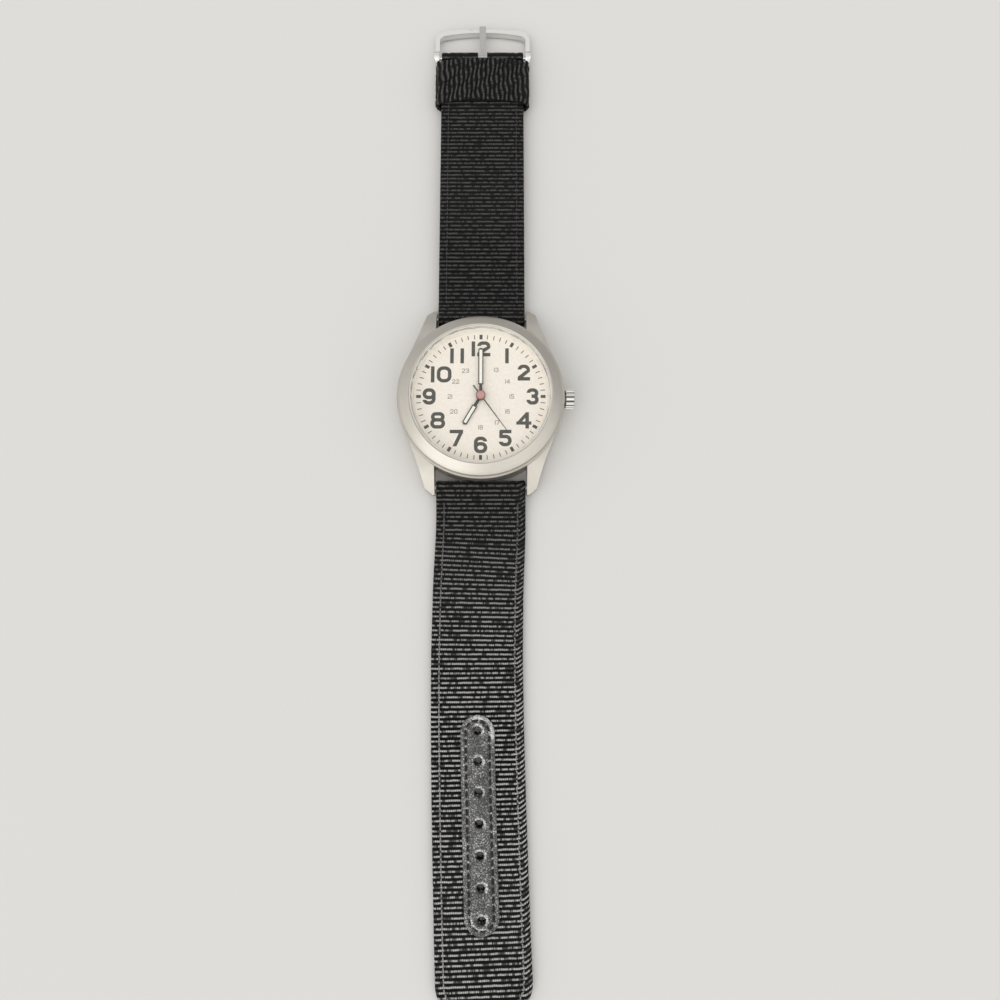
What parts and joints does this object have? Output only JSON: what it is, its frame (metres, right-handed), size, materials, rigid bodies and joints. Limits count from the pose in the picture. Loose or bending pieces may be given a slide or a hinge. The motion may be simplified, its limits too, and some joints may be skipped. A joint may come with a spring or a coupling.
{
  "type": "pilot watch",
  "caption": "Analogue pilot's wristwatch: satin steel case, cream dial with 24-hour inner ring, luminous hands, quartz movement, two-piece black webbing strap with a pin buckle.",
  "frame": {"origin": "centre of the flat face of the case back", "axes": "+Z out through the crystal, +Y towards 12 o'clock, +X towards the crown"},
  "size_m": [0.0424, 0.2406, 0.0102],
  "materials": {
    "case_steel": "fine satin, brushed round the bezel",
    "polished_steel": "polished",
    "movement_steel": "satin",
    "brass": "gilt",
    "crystal": "flat mineral glass",
    "gasket": "matt",
    "nylon_gasket": "matt",
    "dial_paint": "matt cream",
    "hand_paint": "satin black",
    "red_paint": "satin red",
    "lume": "matt luminous filling",
    "holder_plastic": "moulded",
    "board": "lacquered",
    "copper": "enamelled winding",
    "webbing": "ribbed nylon webbing",
    "patch_leather": "matt black"
  },
  "bodies": {
    "case": {"case_body": "case_steel", "bezel": "case_steel", "crystal": "crystal", "crystal_gasket": "nylon_gasket", "rehaut_ring": "dial_paint", "case_back": "polished_steel", "case_back_gasket": "gasket", "crown_tube": "case_steel", "dial": "dial_paint", "movement_holder": "holder_plastic", "main_plate": "brass", "train_bridge": "brass", "stator": "movement_steel", "coil": "copper", "coil_core": "movement_steel", "circuit_board": "board", "quartz_can": "movement_steel", "button_cell": "movement_steel", "cell_clamp": "brass", "movement_screws": "movement_steel", "spring_bar_12": "movement_steel", "spring_bar_6": "movement_steel", "bar_spring_12": "movement_steel", "bar_spring_6": "movement_steel"},
    "minute_works": {"centre_wheel": "brass", "cannon_pinion": "movement_steel", "minute_hand": "hand_paint", "minute_hand_lume": "lume"},
    "hour_works": {"hour_wheel": "brass", "hour_hand": "hand_paint", "hour_hand_lume": "lume"},
    "second_works": {"fourth_wheel": "brass", "second_hand": "red_paint"},
    "third_wheel": {"third_wheel": "brass"},
    "fifth_wheel": {"fifth_wheel": "brass"},
    "rotor": {"rotor": "movement_steel"},
    "minute_wheel": {"minute_wheel": "brass"},
    "clutch": {"clutch_wheel": "movement_steel"},
    "crown": {"crown": "polished_steel", "winding_stem": "movement_steel", "crown_gasket": "gasket"},
    "setting_lever": {"setting_lever": "movement_steel"},
    "yoke": {"yoke": "movement_steel"},
    "setting_wheel": {"setting_wheel": "movement_steel"},
    "bar_tip_12_left": {"bar_tip_12_left": "movement_steel"},
    "bar_tip_12_right": {"bar_tip_12_right": "movement_steel"},
    "bar_tip_6_left": {"bar_tip_6_left": "movement_steel"},
    "bar_tip_6_right": {"bar_tip_6_right": "movement_steel"},
    "strap_upper": {"strap_upper": "webbing", "buckle_pin": "polished_steel"},
    "keeper": {"keeper": "webbing"},
    "buckle_frame": {"buckle_frame": "polished_steel"},
    "buckle_tang": {"buckle_tang": "polished_steel"},
    "strap_lower": {"strap_lower": "webbing", "hole_patch": "patch_leather"}
  },
  "joints": [
    {"name": "minute_hand_turn", "type": "hinge", "parent": "case", "child": "minute_works", "pos_m": [0, 0, 0.0046], "axis": [0, 0, -1], "continuous": true},
    {"name": "hour_hand_turn", "type": "hinge", "parent": "case", "child": "hour_works", "pos_m": [0, 0, 0.0046], "axis": [0, 0, -1], "continuous": true},
    {"name": "second_hand_turn", "type": "hinge", "parent": "case", "child": "second_works", "pos_m": [0, 0, 0.0046], "axis": [0, 0, -1], "continuous": true},
    {"name": "third_wheel_turn", "type": "hinge", "parent": "case", "child": "third_wheel", "pos_m": [0.0018, 0.00312, 0.0046], "axis": [0, 0, -1], "continuous": true},
    {"name": "fifth_wheel_turn", "type": "hinge", "parent": "case", "child": "fifth_wheel", "pos_m": [-0.00131, -0.00361, 0.0046], "axis": [0, 0, -1], "continuous": true},
    {"name": "rotor_turn", "type": "hinge", "parent": "case", "child": "rotor", "pos_m": [-0.00066, -0.00604, 0.0046], "axis": [0, 0, -1], "continuous": true},
    {"name": "minute_wheel_turn", "type": "hinge", "parent": "case", "child": "minute_wheel", "pos_m": [0.00236, -0.00216, 0.0046], "axis": [0, 0, -1], "continuous": true},
    {"name": "crown_turn", "type": "hinge", "parent": "case", "child": "clutch", "pos_m": [0.008, 0, 0.0046], "axis": [1, 0, 0], "continuous": true},
    {"name": "crown_pull", "type": "slide", "parent": "clutch", "child": "crown", "axis": [1, 0, 0], "range_m": [0, 0.0008]},
    {"name": "setting_lever_turn", "type": "hinge", "parent": "case", "child": "setting_lever", "pos_m": [0.0099, 0.003, 0.0059], "axis": [0, 0, 1], "range_deg": [0, 16]},
    {"name": "yoke_rock", "type": "hinge", "parent": "case", "child": "yoke", "pos_m": [0.0047, 0.0028, 0.0059], "axis": [0, 0, -1], "range_deg": [0, 1.85]},
    {"name": "setting_wheel_turn", "type": "hinge", "parent": "yoke", "child": "setting_wheel", "pos_m": [0.00625, 0, 0.006], "axis": [0, 0, -1], "continuous": true},
    {"name": "bar_tip_12_left_push", "type": "slide", "parent": "case", "child": "bar_tip_12_left", "axis": [1, 0, 0], "range_m": [0, 0.00085], "stiffness_N_per_m": 1000, "springref_m": -0.0005},
    {"name": "bar_tip_12_right_push", "type": "slide", "parent": "case", "child": "bar_tip_12_right", "axis": [-1, 0, 0], "range_m": [0, 0.00085], "stiffness_N_per_m": 1000, "springref_m": -0.0005},
    {"name": "bar_tip_6_left_push", "type": "slide", "parent": "case", "child": "bar_tip_6_left", "axis": [1, 0, 0], "range_m": [0, 0.00085], "stiffness_N_per_m": 1000, "springref_m": -0.0005},
    {"name": "bar_tip_6_right_push", "type": "slide", "parent": "case", "child": "bar_tip_6_right", "axis": [-1, 0, 0], "range_m": [0, 0.00085], "stiffness_N_per_m": 1000, "springref_m": -0.0005},
    {"name": "strap_upper_hinge", "type": "hinge", "parent": "case", "child": "strap_upper", "pos_m": [0, 0.0211, 0.0023], "axis": [1, 0, 0], "range_deg": [-95, 72]},
    {"name": "strap_lower_hinge", "type": "hinge", "parent": "case", "child": "strap_lower", "pos_m": [0, -0.0211, 0.0023], "axis": [-1, 0, 0], "range_deg": [-95, 72]},
    {"name": "keeper_slide", "type": "slide", "parent": "strap_upper", "child": "keeper", "axis": [0, -1, 0], "range_m": [0, 0.05]},
    {"name": "buckle_hinge", "type": "hinge", "parent": "strap_upper", "child": "buckle_frame", "pos_m": [0, 0.0933, 0.0023], "axis": [1, 0, 0], "range_deg": [-65, 28]},
    {"name": "tang_hinge", "type": "hinge", "parent": "buckle_frame", "child": "buckle_tang", "pos_m": [0, 0.0933, 0.0023], "axis": [1, 0, 0], "range_deg": [0, 72]}
  ],
  "couplings": [
    {"joint": "hour_hand_turn", "follows": "minute_hand_turn", "ratio": 0.083333},
    {"joint": "second_hand_turn", "follows": "minute_hand_turn", "ratio": 60},
    {"joint": "third_wheel_turn", "follows": "minute_hand_turn", "ratio": -8},
    {"joint": "fifth_wheel_turn", "follows": "minute_hand_turn", "ratio": -300},
    {"joint": "rotor_turn", "follows": "minute_hand_turn", "ratio": 1800},
    {"joint": "minute_wheel_turn", "follows": "minute_hand_turn", "ratio": -0.33333},
    {"joint": "setting_lever_turn", "follows": "crown_pull", "rad_per_m": 337.5},
    {"joint": "yoke_rock", "follows": "crown_pull", "rad_per_m": 39},
    {"joint": "setting_wheel_turn", "follows": "crown_turn", "ratio": 0.8}
  ]
}
